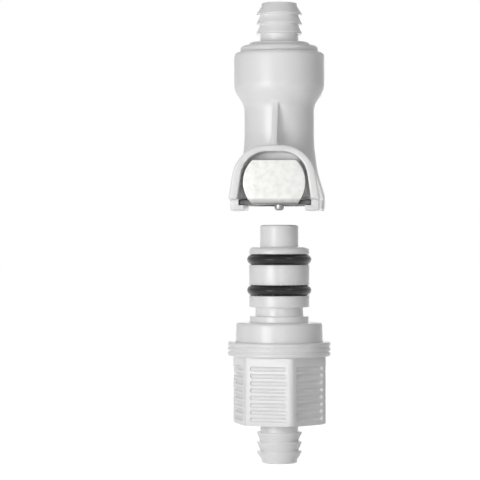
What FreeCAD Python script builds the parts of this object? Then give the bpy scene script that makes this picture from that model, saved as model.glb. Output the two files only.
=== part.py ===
import FreeCAD, Part

import math
import os

# Plastic quick disconnect coupling for 3/8 in bore hose, in millimetres.
# The flow axis is Z and the thumb pad faces -Y. The origin is the centre of the hose stop,
# the flat top face of the upper half. The valved insert hangs below the body, pulled apart.

# Clearances
seat_gap = 0.03
running_gap = 0.05
face_gap = 0.02
slide_gap = 0.07
cutter_reach = 40.0
overlap = 0.3

# Hose barbs
flow_bore_d = 6.4
barb_crest_d = 11.0
barb_root_d = 9.3
barb_tip_d = 8.7
barb_length = 9.6
barb_rows = 3
barb_first = 2.1
barb_land = 0.4
barb_end_wall = 0.6

# End cap of the body
cap_d = 19.0
cap_h = 2.4
cap_step_d = 14.6
cap_step_h = 0.8
cap_round = 0.9
plug_h = 4.4
plug_round = 0.3
seal_drop = 1.0
flare_d = 12.4

# Body
collar_d = 22.0
collar_h = 9.2
collar_round = 0.9
shoulder_h = 4.0
shoulder_round = 5.0
neck_d = 17.0
neck_round = 3.0
flare_start = 22.1
flare_mid_d = 18.6
flare_mid = 28.8
flare_end = 35.0
flare_start_round = 18.0
flare_mid_round = 12.0
flare_end_round = 3.0
mouth_round = 0.7
skirt_d = 22.3
body_length = 38.7
chamber_d = 17.0
chamber_h = 9.4
chamber_slope = 0.6
valve_chamber_d = 13.6
valve_chamber_h = 4.8
seat_bore_d = 8.8
seat_wall = 3.3
seat_round = 0.1
nose_pocket_d = 10.0
nose_pocket_h = 2.7
socket_d = 15.8
mouth_chamfer = 0.4

# Hood around the thumb pad
hood_front = 13.5
hood_half_bottom = 11.0
hood_half_top = 8.8
hood_top_round = 8.0
hood_height = 15.7
hood_wall = 1.6
hood_root_y = 2.0
hood_root_half = 7.0
hood_root_drop = 2.0
hood_root_in = 0.4
pocket_floor = 8.6
spine_w = 1.4
spine_back = 0.4
spine_drop = 0.3
spine_rise = 11.0
foot_gap = 14.4
foot_front = 11.3
foot_half = 10.7
rear_gap = 18.6

# Thumb latch, a bent steel plate
plate_t = 1.25
plate_w = 17.3
plate_back = 9.7
plate_front = 10.4
plate_hole_d = 16.1
plate_lip = 1.35
latch_travel = 1.9
pad_d = 15.0
pad_h = 10.8
pad_tab_w = 9.4
pad_face = 12.7
pad_bend = 0.6

# Release pin and the small springs at the latch
pin_tip_d = 2.2
pin_shank_d = 2.7
pin_x = 0.9
pin_y = 9.5
pin_show = 1.3
pin_hold = 0.25
pin_shank_h = 2.2
pin_boss_d = 3.6
pin_boss_h = 4.5
pin_roof = 0.8
pin_round = 0.7
shank_round = 0.15
pin_spring_d = 2.1
pin_spring_wire = 0.3
pin_spring_turns = 3
latch_spring_d = 3.4
latch_spring_wire = 0.45
latch_spring_turns = 3
latch_spring_up = 6.6
spring_seat_depth = 0.3
spring_seat_gap = 0.15

# Valves
valve_travel = 2.5
touch_gap = 0.05
disc_t = 1.37
disc_round = 0.4
hub_lift = 0.1
valve_hub_d = 8.9
body_disc_d = 12.3
ring_cord = 1.3
stem_d = 3.0
push_rib_t = 1.5
push_rib_d = 8.3
guide_t = 1.6
guide_hub_d = 6.0
guide_hub_h = 2.2
guide_rim = 1.5
guide_spoke_w = 1.6
guide_spokes = 3
valve_spring_wire = 0.7
valve_spring_d = 9.6
body_spring_turns = 3.5
insert_spring_turns = 4
stem_reach = 1.4
stem_round = 0.4

# Insert, from its nose down
rest_gap = 3.3
nose_d = 9.3
nose_bore_d = 6.6
nose_h = 5.4
nose_round = 0.5
land_d = 14.7
front_land_h = 1.7
front_land_round = 0.9
ring_groove_h = 2.6
mid_land_h = 4.9
third_land_h = 2.8
latch_groove_d = 11.7
latch_groove_h = 2.2
rear_land_d = 14.4
rear_land_h = 1.5
bell_d = 21.3
bell_h = 4.7
bell_draft = 0.15
bell_round = 0.8
insert_seat_depth = 1.6
skirt_wall_d = 17.6
skirt_h = 5.6
insert_chamber_d = 14.4
insert_disc_d = 12.6
window_h = 2.9
window_w = 3.0
window_count = 4
nose_floor_t = 1.0
oring_cord = 2.5
oring_d = 15.7
edge_round = 0.15
root_round = 0.2

# Grip sleeve and lower barb
flange_d = 25.1
flange_h = 3.5
flange_ridges = 3
ridge_depth = 0.35
ridge_slope = 0.3
grip_h = 16.4
grip_flats = 20.5
grip_corners_d = 23.5
grip_corner_round = 1.2
grip_bottom_round = 0.8
grip_turn = 9.6
slot_rows = 8
slot_pitch = 1.735
slot_h = 0.95
slot_w = 9.1
slot_depth = 0.6
slot_first = 2.7
sleeve_bore_d = 17.7
sleeve_lip_h = 1.6
sleeve_lip_d = 12.5
barb_plug_wall = 1.6
barb_seal_drop = 1.6
ridge_round = 0.3
joint_cord = 1.5
joint_squeeze = 0.02

# Levels worked out from the sizes above, all along Z
collar_top_z = -cap_h
collar_bottom_z = collar_top_z - collar_h
neck_top_z = collar_bottom_z - shoulder_h
chamber_floor_z = collar_top_z - chamber_h
valve_seat_z = chamber_floor_z - valve_chamber_h
seat_bottom_z = valve_seat_z - seat_wall
socket_top_z = seat_bottom_z - nose_pocket_h
mouth_z = collar_top_z - body_length
plate_bottom_z = mouth_z + plate_lip + slide_gap
plate_top_z = plate_bottom_z + plate_t
slot_top_z = plate_top_z + slide_gap
slot_bottom_z = plate_bottom_z - slide_gap
hood_bottom_z = slot_top_z
hood_top_z = mouth_z + hood_height
nose_z = mouth_z - rest_gap
land_top_z = nose_z - nose_h
ring_1_z = land_top_z - front_land_h - ring_groove_h / 2
ring_2_z = ring_1_z - ring_groove_h - mid_land_h
latch_groove_top_z = ring_2_z - ring_groove_h / 2 - third_land_h
latch_groove_z = latch_groove_top_z - latch_groove_h / 2
bell_top_z = latch_groove_top_z - latch_groove_h - rear_land_h
bell_bottom_z = bell_top_z - bell_h
insert_seat_z = bell_top_z - insert_seat_depth
skirt_bottom_z = bell_bottom_z - skirt_h
flange_bottom_z = bell_bottom_z - flange_h
grip_bottom_z = flange_bottom_z - grip_h
stroke = plate_bottom_z + plate_t / 2 - latch_groove_z
ring_groove_d = oring_d - 2 * oring_cord - 2 * face_gap
push_tip_z = nose_z + stroke - 2 * valve_travel + touch_gap

MADE = []


def save(shape, node):
    """Write one piece to its STEP file."""
    if not shape.isValid():
        raise ValueError(node + " is not a valid solid")
    shape.exportStep("parts/" + node + ".step")
    MADE.append(node)
    print(node, len(shape.Solids), "solid", round(shape.Volume, 2), "mm3")


def rounded_wire(corners, place):
    """Closed outline through (u, v, radius) corners, with an arc at each corner that has a radius."""
    count = len(corners)
    arcs = []
    for i in range(count):
        u, v, radius = corners[i]
        back = (corners[i - 1][0] - u, corners[i - 1][1] - v)
        ahead = (corners[(i + 1) % count][0] - u, corners[(i + 1) % count][1] - v)
        back_len = math.hypot(*back)
        ahead_len = math.hypot(*ahead)
        back = (back[0] / back_len, back[1] / back_len)
        ahead = (ahead[0] / ahead_len, ahead[1] / ahead_len)
        cosine = max(-1.0, min(1.0, back[0] * ahead[0] + back[1] * ahead[1]))
        half = math.acos(cosine) / 2
        if radius <= 0 or half > math.radians(89.9):
            arcs.append([(u, v)])
            continue
        setback = min(radius / math.tan(half), 0.49 * back_len, 0.49 * ahead_len)
        radius = setback * math.tan(half)
        middle = (back[0] + ahead[0], back[1] + ahead[1])
        middle_len = math.hypot(*middle)
        reach = (radius / math.sin(half) - radius) / middle_len
        arcs.append([
            (u + back[0] * setback, v + back[1] * setback),
            (u + middle[0] * reach, v + middle[1] * reach),
            (u + ahead[0] * setback, v + ahead[1] * setback),
        ])
    edges = []
    for i in range(count):
        here = arcs[i]
        after = arcs[(i + 1) % count]
        if len(here) == 3:
            edges.append(Part.Arc(place(*here[0]), place(*here[1]), place(*here[2])).toShape())
        edges.append(Part.makeLine(place(*here[-1]), place(*after[0])))
    return Part.Wire(edges)


def turned(corners):
    """Solid of revolution about Z from (radius, z, rounding) corners."""
    wire = rounded_wire(corners, lambda r, z: FreeCAD.Vector(r, 0, z))
    turned_solid = Part.Face(wire).revolve(FreeCAD.Vector(0, 0, 0), FreeCAD.Vector(0, 0, 1), 360)
    if turned_solid.Volume < 0:
        turned_solid.reverse()
    return turned_solid


def plain(points):
    """The same (radius, z) points as sharp corners."""
    return [(r, z, 0) for r, z in points]


def cylinder(diameter, z_low, z_high, x=0.0, y=0.0):
    """Upright cylinder between two levels."""
    return Part.makeCylinder(diameter / 2, z_high - z_low, FreeCAD.Vector(x, y, z_low))


def box(x_low, x_high, y_low, y_high, z_low, z_high):
    """Box between two corners."""
    low = FreeCAD.Vector(x_low, y_low, z_low)
    return Part.makeBox(x_high - x_low, y_high - y_low, z_high - z_low, low)


def ring(ring_d, cord, z):
    """Sealing ring of outer diameter ring_d, lying level at z."""
    return Part.makeTorus((ring_d - cord) / 2, cord / 2, FreeCAD.Vector(0, 0, z))


def spring(coil_d, wire, turns, length):
    """Helical spring that stands on the XY plane, length long overall."""
    radius = (coil_d - wire) / 2
    rise = length - wire
    helix = Part.makeLongHelix(rise / turns, rise, radius)
    section = Part.Wire(Part.makeCircle(
        wire / 2, FreeCAD.Vector(radius, 0, 0), FreeCAD.Vector(0, 1, 0)))
    coil = Part.Wire(helix.Edges).makePipeShell([section], True, True)
    coil.translate(FreeCAD.Vector(0, 0, wire / 2))
    return coil


def barb_side(stop_z, way):
    """Outer side of a hose barb, from the hose stop at stop_z to its tip; way is 1 up, -1 down."""
    points = [(barb_root_d / 2, stop_z)]
    pitch = (barb_length - barb_first - barb_end_wall) / barb_rows
    for row in range(barb_rows):
        start = stop_z + way * (barb_first + row * pitch)
        last = row == barb_rows - 1
        points.append((barb_root_d / 2, start))
        points.append((barb_crest_d / 2, start))
        points.append((barb_crest_d / 2, start + way * barb_land))
        if last:
            points.append((barb_tip_d / 2, start + way * pitch))
        else:
            points.append((barb_root_d / 2, start + way * (pitch - face_gap)))
    points.append((barb_tip_d / 2, stop_z + way * barb_length))
    points.append((flow_bore_d / 2, stop_z + way * barb_length))
    return plain(points)


def end_cap():
    """Ring, plug and upper hose barb, moulded in one and welded into the collar."""
    plug_r = chamber_d / 2 - seat_gap
    plug_bottom_z = collar_top_z - plug_h
    groove_top_z = collar_top_z - seal_drop
    groove_bottom_z = groove_top_z - joint_cord - 2 * face_gap
    groove_r = chamber_d / 2 - joint_squeeze - joint_cord - face_gap
    corners = [
        (flare_d / 2, plug_bottom_z, 0),
        (plug_r, plug_bottom_z, plug_round),
        (plug_r, groove_bottom_z, 0),
        (groove_r, groove_bottom_z, 0),
        (groove_r, groove_top_z, 0),
        (plug_r, groove_top_z, 0),
        (plug_r, collar_top_z, 0),
        (cap_d / 2, collar_top_z, 0),
        (cap_d / 2, -cap_step_h, cap_round),
        (cap_step_d / 2, -cap_step_h, plug_round),
        (cap_step_d / 2, 0, plug_round),
    ]
    corners += barb_side(0, 1)
    corners.append((flow_bore_d / 2, plug_bottom_z + (flare_d - flow_bore_d) / 2, 0))
    return turned(corners)


def end_cap_seal():
    """Sealing ring between the plug and the wall of the chamber."""
    seal_d = chamber_d - 2 * joint_squeeze
    return ring(seal_d, joint_cord, collar_top_z - seal_drop - face_gap - joint_cord / 2)


def hood_outline(inset, y, half_bottom, half_top, top_z, bottom_z, top_round):
    """Horseshoe outline of the hood in a plane of constant Y, drawn in by inset."""
    top = top_z - inset
    low = half_bottom - inset
    high = half_top - inset
    corner = max(top_round - inset, root_round)
    return rounded_wire([
        (-low, bottom_z, 0),
        (low, bottom_z, 0),
        (high, top, corner),
        (-high, top, corner),
    ], lambda u, v: FreeCAD.Vector(u, y, v))


def hood_block():
    """Horseshoe hood that stands out of the body around the thumb pad."""
    front = hood_outline(
        0, -hood_front, hood_half_bottom, hood_half_top, hood_top_z, hood_bottom_z, hood_top_round)
    root = hood_outline(
        0, -hood_root_y, skirt_d / 2 - hood_root_in, hood_root_half, hood_top_z - hood_root_drop,
        hood_bottom_z, hood_top_round - hood_root_drop)
    return Part.makeLoft([front, root], True, True)


def pin_place():
    """Axis of the release pin in plan."""
    return pin_x, -pin_y


def coupling_body():
    """Body: valve chamber in the collar, seat wall, neck, socket and the hood of the latch."""
    outer = [
        (collar_d / 2, collar_top_z, collar_round),
        (collar_d / 2, collar_bottom_z, shoulder_round),
        (neck_d / 2, neck_top_z, neck_round),
        (neck_d / 2, collar_top_z - flare_start, flare_start_round),
        (flare_mid_d / 2, collar_top_z - flare_mid, flare_mid_round),
        (skirt_d / 2, collar_top_z - flare_end, flare_end_round),
        (skirt_d / 2, mouth_z, mouth_round),
    ]
    inner = [
        (socket_d / 2 + mouth_chamfer, mouth_z, 0),
        (socket_d / 2, mouth_z + mouth_chamfer, 0),
        (socket_d / 2, socket_top_z, root_round),
        (nose_pocket_d / 2, socket_top_z, 0),
        (nose_pocket_d / 2, seat_bottom_z, 0),
        (seat_bore_d / 2, seat_bottom_z, 0),
        (seat_bore_d / 2, valve_seat_z, seat_round),
        (valve_chamber_d / 2, valve_seat_z, root_round),
        (valve_chamber_d / 2, chamber_floor_z - chamber_slope, 0),
        (chamber_d / 2, chamber_floor_z, 0),
        (chamber_d / 2, collar_top_z, 0),
    ]
    body = turned(outer + inner)
    hood = hood_block()
    feet = box(-foot_half, foot_half, -foot_front, 0, mouth_z, hood_bottom_z + overlap)
    body = body.fuse([hood, spine(), feet])
    pocket = hood_outline(
        hood_wall, -cutter_reach, hood_half_bottom, hood_half_top, hood_top_z,
        mouth_z - overlap, hood_top_round)
    pocket = Part.Face(pocket).extrude(FreeCAD.Vector(0, cutter_reach - pocket_floor, 0))
    upper_pocket = pocket.common(
        box(-cutter_reach, cutter_reach, -cutter_reach, 0, slot_top_z, 0))
    foot_opening = box(
        -foot_gap / 2, foot_gap / 2, -cutter_reach, -hood_root_y, mouth_z - overlap,
        slot_top_z + overlap)
    px, py = pin_place()
    boss = cylinder(pin_boss_d, slot_top_z, slot_top_z + pin_boss_h, px, py)
    pin_bore = cylinder(
        pin_shank_d + 2 * running_gap, mouth_z, slot_top_z + pin_boss_h - pin_roof, px, py)
    socket = cylinder(socket_d, mouth_z - overlap, socket_top_z)
    plate_slot = box(
        -plate_w / 2 - slide_gap, plate_w / 2 + slide_gap, -cutter_reach, 0, slot_bottom_z,
        slot_top_z)
    plate_back_slot = cylinder(2 * (plate_back + slide_gap), slot_bottom_z, slot_top_z).common(box(
        -plate_w / 2 - slide_gap, plate_w / 2 + slide_gap, 0, cutter_reach, slot_bottom_z,
        slot_top_z))
    back_notch = box(
        -rear_gap / 2, rear_gap / 2, 0, cutter_reach, mouth_z - overlap, slot_bottom_z)
    body = body.cut(upper_pocket)
    body = body.fuse(boss)
    body = body.cut([
        foot_opening, pin_bore, socket, plate_slot, plate_back_slot, back_notch, spring_seat()])
    return body.removeSplitter()


def spine():
    """Thin rib from the crown of the hood up to the neck."""
    side_x = -spine_w / 2
    front_y = -hood_front + spine_drop
    low_z = hood_top_z - hood_wall / 2
    high_z = hood_top_z + spine_rise
    back_y = -socket_d / 2 - spine_back
    side = Part.makePolygon([
        FreeCAD.Vector(side_x, front_y, low_z),
        FreeCAD.Vector(side_x, front_y, hood_top_z + spine_drop),
        FreeCAD.Vector(side_x, -neck_d / 2 - spine_back, high_z),
        FreeCAD.Vector(side_x, back_y, high_z),
        FreeCAD.Vector(side_x, back_y, low_z),
        FreeCAD.Vector(side_x, front_y, low_z),
    ])
    return Part.Face(side).extrude(FreeCAD.Vector(spine_w, 0, 0))


def spring_seat():
    """Shallow round seat in the pocket floor where the latch spring stands."""
    seat_z = plate_top_z + latch_spring_up
    return Part.makeCylinder(
        latch_spring_d / 2 + spring_seat_gap, spring_seat_depth,
        FreeCAD.Vector(0, -pocket_floor, seat_z), FreeCAD.Vector(0, 1, 0))


def thumb_latch():
    """Steel latch: a plate with the locking hole, bent up in front into the thumb pad."""
    half = plate_w / 2
    plate = box(-half, half, -plate_front, 0, plate_bottom_z, plate_top_z)
    back = cylinder(2 * plate_back, plate_bottom_z, plate_top_z).common(
        box(-half, half, 0, cutter_reach, plate_bottom_z, plate_top_z))
    tab = box(
        -pad_tab_w / 2, pad_tab_w / 2, -pad_face, -plate_front + overlap, plate_bottom_z,
        plate_top_z)
    pad_mid_z = plate_bottom_z + pad_h / 2
    pad = Part.makeCylinder(
        pad_d / 2, plate_t, FreeCAD.Vector(0, -pad_face, pad_mid_z), FreeCAD.Vector(0, 1, 0))
    pad = pad.common(box(
        -cutter_reach, cutter_reach, -cutter_reach, 0, plate_bottom_z, plate_bottom_z + pad_h))
    bend_fill = box(
        -pad_tab_w / 2, pad_tab_w / 2, -pad_face + plate_t - face_gap,
        -pad_face + plate_t + pad_bend, plate_top_z - face_gap, plate_top_z + pad_bend)
    bend_round = Part.makeCylinder(
        pad_bend, pad_tab_w, FreeCAD.Vector(
            -pad_tab_w / 2, -pad_face + plate_t + pad_bend, plate_top_z + pad_bend),
        FreeCAD.Vector(1, 0, 0))
    latch = plate.fuse([back, tab, pad, bend_fill.cut(bend_round)])
    px, py = pin_place()
    keyhole = cylinder(pin_shank_d + 6 * running_gap, mouth_z, slot_top_z, px, py)
    track_w = pin_tip_d + 4 * running_gap
    track = box(px - track_w / 2, px + track_w / 2, py, 0, mouth_z, slot_top_z)
    hole = cylinder(plate_hole_d, mouth_z, slot_top_z)
    outer_r = plate_t + pad_bend
    outer_bend = box(
        -cutter_reach / 2, cutter_reach / 2, -pad_face - overlap, -pad_face + outer_r, mouth_z,
        plate_bottom_z + outer_r)
    outer_round = Part.makeCylinder(
        outer_r, cutter_reach,
        FreeCAD.Vector(-cutter_reach / 2, -pad_face + outer_r, plate_bottom_z + outer_r),
        FreeCAD.Vector(1, 0, 0))
    latch = latch.cut([keyhole, track, hole, outer_bend.cut(outer_round)])
    return latch.removeSplitter()


def latch_spring():
    """Spring that throws the latch out, between the pocket floor and the pad."""
    floor_y = -pocket_floor + spring_seat_depth
    pad_back_y = -pad_face + plate_t
    length = floor_y - pad_back_y - 2 * face_gap
    coil = spring(latch_spring_d, latch_spring_wire, latch_spring_turns, length)
    coil.rotate(FreeCAD.Vector(0, 0, 0), FreeCAD.Vector(1, 0, 0), 90)
    coil.translate(FreeCAD.Vector(0, floor_y - face_gap, plate_top_z + latch_spring_up))
    return coil


def release_pin():
    """Pin beside the socket: its shank holds the pressed-in latch, its tip shows below the plate."""
    tip_z = plate_bottom_z - pin_show
    shank_z = plate_top_z - pin_hold
    px, py = pin_place()
    pin = turned([
        (0, tip_z, 0),
        (pin_tip_d / 2, tip_z, pin_round),
        (pin_tip_d / 2, shank_z, 0),
        (pin_shank_d / 2, shank_z, shank_round),
        (pin_shank_d / 2, shank_z + pin_shank_h, shank_round),
        (0, shank_z + pin_shank_h, 0),
    ])
    pin.translate(FreeCAD.Vector(px, py, 0))
    return pin


def release_pin_spring():
    """Small spring above the pin, inside its boss."""
    low = plate_top_z - pin_hold + pin_shank_h + face_gap
    high = slot_top_z + pin_boss_h - pin_roof - face_gap
    coil = spring(pin_spring_d, pin_spring_wire, pin_spring_turns, high - low)
    px, py = pin_place()
    coil.translate(FreeCAD.Vector(px, py, low))
    return coil


def body_valve_poppet():
    """Poppet of the body: disc above the seat, guide stem above it and push ribs below."""
    hub_low = valve_seat_z + hub_lift
    hub_high = valve_seat_z + ring_cord + 2 * face_gap
    disc_top = hub_high + disc_t
    guide_z = collar_top_z - plug_h - guide_t
    stem_top = guide_z + stem_reach
    head = turned([
        (0, hub_low, 0),
        (valve_hub_d / 2, hub_low, edge_round),
        (valve_hub_d / 2, hub_high, 0),
        (body_disc_d / 2, hub_high, edge_round),
        (body_disc_d / 2, disc_top, disc_round),
        (stem_d / 2, disc_top, root_round),
        (stem_d / 2, stem_top, stem_round),
        (0, stem_top, 0),
    ])
    ribs = []
    for turn in (0, 90):
        rib = box(
            -push_rib_d / 2, push_rib_d / 2, -push_rib_t / 2, push_rib_t / 2,
            push_tip_z, hub_low + overlap)
        rib.rotate(FreeCAD.Vector(0, 0, 0), FreeCAD.Vector(0, 0, 1), turn + 45)
        ribs.append(rib)
    push = ribs[0].fuse(ribs[1]).common(cylinder(push_rib_d, push_tip_z, hub_low + overlap))
    return head.fuse(push).removeSplitter()


def body_valve_seal():
    """Sealing ring under the disc of the body's poppet."""
    z = valve_seat_z + face_gap + ring_cord / 2
    return ring(valve_hub_d + 2 * face_gap + 2 * ring_cord, ring_cord, z)


def valve_spring(disc_z, guide_z, turns):
    """Closing spring between a poppet's disc and its guide."""
    low = min(disc_z, guide_z) + face_gap
    high = max(disc_z, guide_z) - face_gap
    coil = spring(valve_spring_d, valve_spring_wire, turns, high - low)
    coil.translate(FreeCAD.Vector(0, 0, low))
    return coil


def valve_guide(rim_d, low_z, hub_way):
    """Spoked guide: a rim, a hub with a running bore for the stem, and spokes between them."""
    high_z = low_z + guide_t
    inside = cylinder(rim_d - 2 * guide_rim, low_z - overlap, high_z + overlap)
    rim = cylinder(rim_d, low_z, high_z).cut(inside)
    hub_low = low_z if hub_way > 0 else high_z - guide_hub_h
    hub = cylinder(guide_hub_d, hub_low, hub_low + guide_hub_h)
    pieces = [hub]
    for k in range(guide_spokes):
        spoke = box(0, rim_d / 2 - guide_rim / 2, -guide_spoke_w / 2, guide_spoke_w / 2, low_z, high_z)
        spoke.rotate(FreeCAD.Vector(0, 0, 0), FreeCAD.Vector(0, 0, 1), 360 * k / guide_spokes)
        pieces.append(spoke)
    bore = cylinder(stem_d + 2 * running_gap, low_z - cutter_reach, high_z + cutter_reach)
    return rim.fuse(pieces).cut(bore).removeSplitter()


def insert_body():
    """Front of the insert: lands, ring grooves, latch groove, bell and the skirt in the sleeve."""
    ring_half = ring_groove_h / 2
    bore_d = nose_d + 4 * running_gap
    corners = [
        (bore_d / 2, land_top_z, edge_round),
        (land_d / 2, land_top_z, front_land_round),
        (land_d / 2, ring_1_z + ring_half, edge_round),
        (ring_groove_d / 2, ring_1_z + ring_half, root_round),
        (ring_groove_d / 2, ring_1_z - ring_half, root_round),
        (land_d / 2, ring_1_z - ring_half, edge_round),
        (land_d / 2, ring_2_z + ring_half, edge_round),
        (ring_groove_d / 2, ring_2_z + ring_half, root_round),
        (ring_groove_d / 2, ring_2_z - ring_half, root_round),
        (land_d / 2, ring_2_z - ring_half, edge_round),
        (land_d / 2, latch_groove_top_z, edge_round),
        (latch_groove_d / 2, latch_groove_top_z, root_round),
        (latch_groove_d / 2, latch_groove_top_z - latch_groove_h, root_round),
        (rear_land_d / 2, latch_groove_top_z - latch_groove_h, edge_round),
        (rear_land_d / 2, bell_top_z, root_round),
        (bell_d / 2 - bell_draft, bell_top_z, bell_round),
        (bell_d / 2, bell_bottom_z, 0),
        (skirt_wall_d / 2, bell_bottom_z, 0),
        (skirt_wall_d / 2, skirt_bottom_z, edge_round),
        (insert_chamber_d / 2, skirt_bottom_z, 0),
        (insert_chamber_d / 2, insert_seat_z, root_round),
        (bore_d / 2, insert_seat_z, seat_round),
    ]
    return turned(corners)


def insert_disc_levels():
    """Top and bottom of the insert poppet's disc."""
    top = insert_seat_z - ring_cord - 2 * face_gap
    return top, top - disc_t


def insert_valve_poppet():
    """Poppet of the insert: the nose is a tube, open at its tip, with windows above its disc."""
    disc_top, disc_bottom = insert_disc_levels()
    hub_top = insert_seat_z - hub_lift
    stem_low = skirt_bottom_z - stem_reach
    poppet = turned([
        (nose_bore_d / 2, nose_z, edge_round),
        (nose_d / 2, nose_z, nose_round),
        (nose_d / 2, disc_top, 0),
        (insert_disc_d / 2, disc_top, edge_round),
        (insert_disc_d / 2, disc_bottom, disc_round),
        (stem_d / 2, disc_bottom, root_round),
        (stem_d / 2, stem_low, stem_round),
        (0, stem_low, 0),
        (0, hub_top - nose_floor_t, 0),
        (nose_bore_d / 2, hub_top - nose_floor_t, 0),
    ])
    windows = []
    for k in range(window_count):
        window = box(0, nose_d, -window_w / 2, window_w / 2, hub_top, hub_top + window_h)
        window.rotate(FreeCAD.Vector(0, 0, 0), FreeCAD.Vector(0, 0, 1), 360 * k / window_count)
        windows.append(window)
    return poppet.cut(windows).removeSplitter()


def insert_valve_seal():
    """Sealing ring on top of the insert poppet's disc."""
    z = insert_seat_z - face_gap - ring_cord / 2
    return ring(nose_d + 2 * face_gap + 2 * ring_cord, ring_cord, z)


def grip_sleeve():
    """Hexagonal hand grip with a ridged flange, welded to the bell, with slots in each flat."""
    hexagon = []
    corner_r = grip_flats / 2 / math.cos(math.radians(30))
    for k in range(6):
        angle = math.radians(60 * k)
        hexagon.append((corner_r * math.cos(angle), corner_r * math.sin(angle), grip_corner_round))
    wire = rounded_wire(hexagon, lambda u, v: FreeCAD.Vector(u, v, grip_bottom_z))
    prism = Part.Face(wire).extrude(FreeCAD.Vector(0, 0, grip_h))
    barrel = turned([
        (0, grip_bottom_z, 0),
        (grip_corners_d / 2, grip_bottom_z, grip_bottom_round),
        (grip_corners_d / 2, flange_bottom_z, 0),
        (0, flange_bottom_z, 0),
    ])
    prism = prism.common(barrel)
    slots = []
    for row in range(slot_rows):
        z = flange_bottom_z - slot_first - row * slot_pitch
        outline = rounded_wire([
            (-slot_w / 2, z - slot_h / 2, slot_h / 2),
            (slot_w / 2, z - slot_h / 2, slot_h / 2),
            (slot_w / 2, z + slot_h / 2, slot_h / 2),
            (-slot_w / 2, z + slot_h / 2, slot_h / 2),
        ], lambda u, v: FreeCAD.Vector(u, -grip_flats / 2 - overlap, v))
        cutter = Part.Face(outline).extrude(FreeCAD.Vector(0, overlap + slot_depth, 0))
        for k in range(6):
            copy = cutter.copy()
            copy.rotate(FreeCAD.Vector(0, 0, 0), FreeCAD.Vector(0, 0, 1), 60 * k)
            slots.append(copy)
    prism = prism.cut(slots)
    prism.rotate(FreeCAD.Vector(0, 0, 0), FreeCAD.Vector(0, 0, 1), -grip_turn)
    pitch = flange_h / flange_ridges
    ridges = [(0, bell_bottom_z, 0)]
    for k in range(flange_ridges):
        top = bell_bottom_z - k * pitch
        ridges.append((flange_d / 2 - ridge_depth, top, 0))
        ridges.append((flange_d / 2, top - ridge_slope, ridge_round))
        ridges.append((flange_d / 2, top - pitch + ridge_slope, ridge_round))
    ridges.append((flange_d / 2 - ridge_depth, flange_bottom_z, 0))
    ridges.append((0, flange_bottom_z, 0))
    bore = cylinder(sleeve_bore_d, grip_bottom_z + sleeve_lip_h, bell_bottom_z + overlap)
    lip = cylinder(sleeve_lip_d, grip_bottom_z - overlap, bell_bottom_z)
    return turned(ridges).fuse(prism).cut([bore, lip]).removeSplitter()


def insert_hose_barb():
    """Lower hose barb: its plug is clamped by the sleeve's lip and sealed in the sleeve's bore."""
    plug_r = sleeve_bore_d / 2 - seat_gap
    plug_top = skirt_bottom_z - guide_t - face_gap
    plug_bottom = grip_bottom_z + sleeve_lip_h + face_gap
    groove_high = plug_top - barb_seal_drop
    groove_low = groove_high - joint_cord - 2 * face_gap
    groove_r = sleeve_bore_d / 2 - joint_squeeze - joint_cord - face_gap
    cavity_low = plug_bottom + barb_plug_wall
    corners = [
        (flare_d / 2, plug_top, 0),
        (plug_r, plug_top, edge_round),
        (plug_r, groove_high, 0),
        (groove_r, groove_high, 0),
        (groove_r, groove_low, 0),
        (plug_r, groove_low, 0),
        (plug_r, plug_bottom, edge_round),
        (sleeve_lip_d / 2 - seat_gap, plug_bottom, 0),
        (sleeve_lip_d / 2 - seat_gap, grip_bottom_z, 0),
    ]
    corners += barb_side(grip_bottom_z, -1)
    corners.append((flow_bore_d / 2, cavity_low, 0))
    corners.append((flare_d / 2, cavity_low + (flare_d - flow_bore_d) / 2, 0))
    return turned(corners)


def insert_joint_seal():
    """Sealing ring between the lower barb's plug and the sleeve."""
    plug_top = skirt_bottom_z - guide_t - face_gap
    z = plug_top - barb_seal_drop - face_gap - joint_cord / 2
    return ring(sleeve_bore_d - 2 * joint_squeeze, joint_cord, z)


def main():
    os.makedirs("parts", exist_ok=True)
    save(coupling_body(), "coupling_body")
    save(end_cap(), "body_end_cap")
    save(end_cap_seal(), "end_cap_seal")
    save(thumb_latch(), "thumb_latch")
    save(latch_spring(), "latch_spring")
    save(release_pin(), "release_pin")
    save(release_pin_spring(), "release_pin_spring")
    save(body_valve_poppet(), "body_valve_poppet")
    save(body_valve_seal(), "body_valve_seal")
    body_disc_top = valve_seat_z + ring_cord + 2 * face_gap + disc_t
    body_guide_z = collar_top_z - plug_h - guide_t
    save(valve_spring(body_disc_top, body_guide_z, body_spring_turns), "body_valve_spring")
    save(valve_guide(chamber_d - 2 * seat_gap, body_guide_z, -1), "body_valve_guide")
    save(insert_body(), "insert_body")
    save(ring(oring_d, oring_cord, ring_1_z), "front_oring")
    save(ring(oring_d, oring_cord, ring_2_z), "rear_oring")
    save(insert_valve_poppet(), "insert_valve_poppet")
    save(insert_valve_seal(), "insert_valve_seal")
    insert_guide_z = skirt_bottom_z - guide_t
    save(valve_spring(insert_disc_levels()[1], skirt_bottom_z, insert_spring_turns), "insert_valve_spring")
    save(valve_guide(sleeve_bore_d - 2 * seat_gap, insert_guide_z, 1), "insert_valve_guide")
    save(grip_sleeve(), "grip_sleeve")
    save(insert_hose_barb(), "insert_hose_barb")
    save(insert_joint_seal(), "insert_joint_seal")
    print(len(MADE), "pieces, stroke", round(stroke, 3))


main()
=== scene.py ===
import math

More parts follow.
